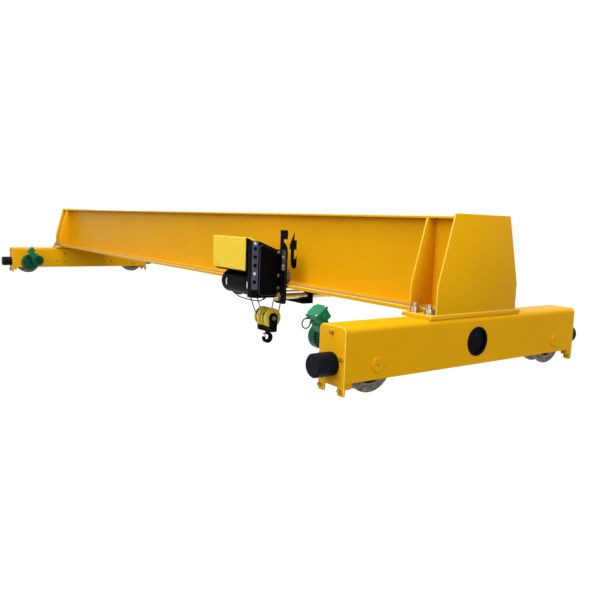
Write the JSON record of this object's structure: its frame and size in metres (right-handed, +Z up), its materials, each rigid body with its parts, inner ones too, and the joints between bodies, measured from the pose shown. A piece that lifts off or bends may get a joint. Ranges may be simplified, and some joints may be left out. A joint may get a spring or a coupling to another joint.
{
  "type": "overhead bridge crane",
  "caption": "Single box-girder bridge crane on end carriages with flanged wheels, with a low-headroom wire rope hoist on its bottom flange and a swivel hook.",
  "frame": {"origin": "on the near runway rail's head, under the middle of the near end carriage", "axes": "+X along the girder, outward at the near carriage; the far rail is at minus X; the hoist is on the side that faces -Y; +Z up"},
  "size_m": [7.644, 2.244, 1.057],
  "materials": {
    "crane_paint": "gloss enamel",
    "hoist_paint": "satin powder coat",
    "black_paint": "satin",
    "grey_strip": "satin",
    "drive_green": "gloss enamel",
    "wheel_iron": "bare, run in",
    "zinc": "yellow passivated zinc",
    "rope_steel": "greased wire",
    "buffer_rubber": "matt",
    "plug_plastic": "matt",
    "cable_rubber": "matt"
  },
  "bodies": {
    "bridge": {"girder_top_flange": "crane_paint", "girder_bottom_flange": "crane_paint", "girder_front_web": "crane_paint", "girder_back_web": "crane_paint", "girder_end_plates": "crane_paint", "girder_gussets": "crane_paint", "saddle_plates": "crane_paint", "near_carriage_channel": "crane_paint", "far_carriage_channel": "crane_paint", "carriage_floors": "crane_paint", "carriage_end_plates": "crane_paint", "buffers": "buffer_rubber", "access_plugs": "plug_plastic", "axle_caps": "zinc", "near_drive_gearbox": "drive_green", "far_drive_gearbox": "drive_green", "near_drive_motor": "drive_green", "far_drive_motor": "drive_green", "near_drive_fan_cowl": "drive_green", "far_drive_fan_cowl": "drive_green", "near_drive_terminal_box": "drive_green", "far_drive_terminal_box": "drive_green", "near_motor_lead": "cable_rubber"},
    "near_front_wheel": {"near_front_wheel": "wheel_iron"},
    "near_back_wheel": {"near_back_wheel": "wheel_iron"},
    "far_front_wheel": {"far_front_wheel": "wheel_iron"},
    "far_back_wheel": {"far_back_wheel": "wheel_iron"},
    "trolley": {"trolley_front_plate": "black_paint", "trolley_back_plate": "black_paint", "trolley_wheels": "wheel_iron", "trolley_tie_bars": "zinc", "rope_anchor_beam": "black_paint", "hoist_electrical_box": "hoist_paint", "hoist_drum_cover": "black_paint", "hoist_gear_housing": "black_paint", "hoist_hole_strip": "grey_strip", "hoist_rope_drum": "wheel_iron", "front_rope_falls": "rope_steel", "back_rope_falls": "rope_steel", "hoist_lead": "cable_rubber"},
    "hook_block": {"hook_block_covers": "hoist_paint", "hook_block_frame": "black_paint", "hook_block_sheaves": "wheel_iron"},
    "hook": {"hook": "black_paint"},
    "hook_latch": {"hook_latch": "zinc"}
  },
  "joints": [
    {"name": "near_front_wheel_spin", "type": "hinge", "parent": "bridge", "child": "near_front_wheel", "pos_m": [0, -0.782, 0.135], "axis": [1, 0, 0], "continuous": true},
    {"name": "near_back_wheel_spin", "type": "hinge", "parent": "bridge", "child": "near_back_wheel", "pos_m": [0, 0.782, 0.135], "axis": [1, 0, 0], "continuous": true},
    {"name": "far_front_wheel_spin", "type": "hinge", "parent": "bridge", "child": "far_front_wheel", "pos_m": [-7.42, -0.782, 0.135], "axis": [1, 0, 0], "continuous": true},
    {"name": "far_back_wheel_spin", "type": "hinge", "parent": "bridge", "child": "far_back_wheel", "pos_m": [-7.42, 0.782, 0.135], "axis": [1, 0, 0], "continuous": true},
    {"name": "trolley_travel", "type": "slide", "parent": "bridge", "child": "trolley", "axis": [1, 0, 0], "range_m": [-4.75, 0.63]},
    {"name": "hook_lower", "type": "slide", "parent": "trolley", "child": "hook_block", "axis": [0, 0, -1], "range_m": [-0.03, 6], "deforming": ["front_rope_falls", "back_rope_falls"]},
    {"name": "hook_swivel", "type": "hinge", "parent": "hook_block", "child": "hook", "pos_m": [-1.795, -0.225, -0.031], "axis": [0, 0, 1], "continuous": true},
    {"name": "latch_open", "type": "hinge", "parent": "hook", "child": "hook_latch", "pos_m": [-1.795, -0.25, -0.054], "axis": [1, 0, 0], "range_deg": [0, 25], "stiffness_Nm_per_rad": 0.2}
  ]
}
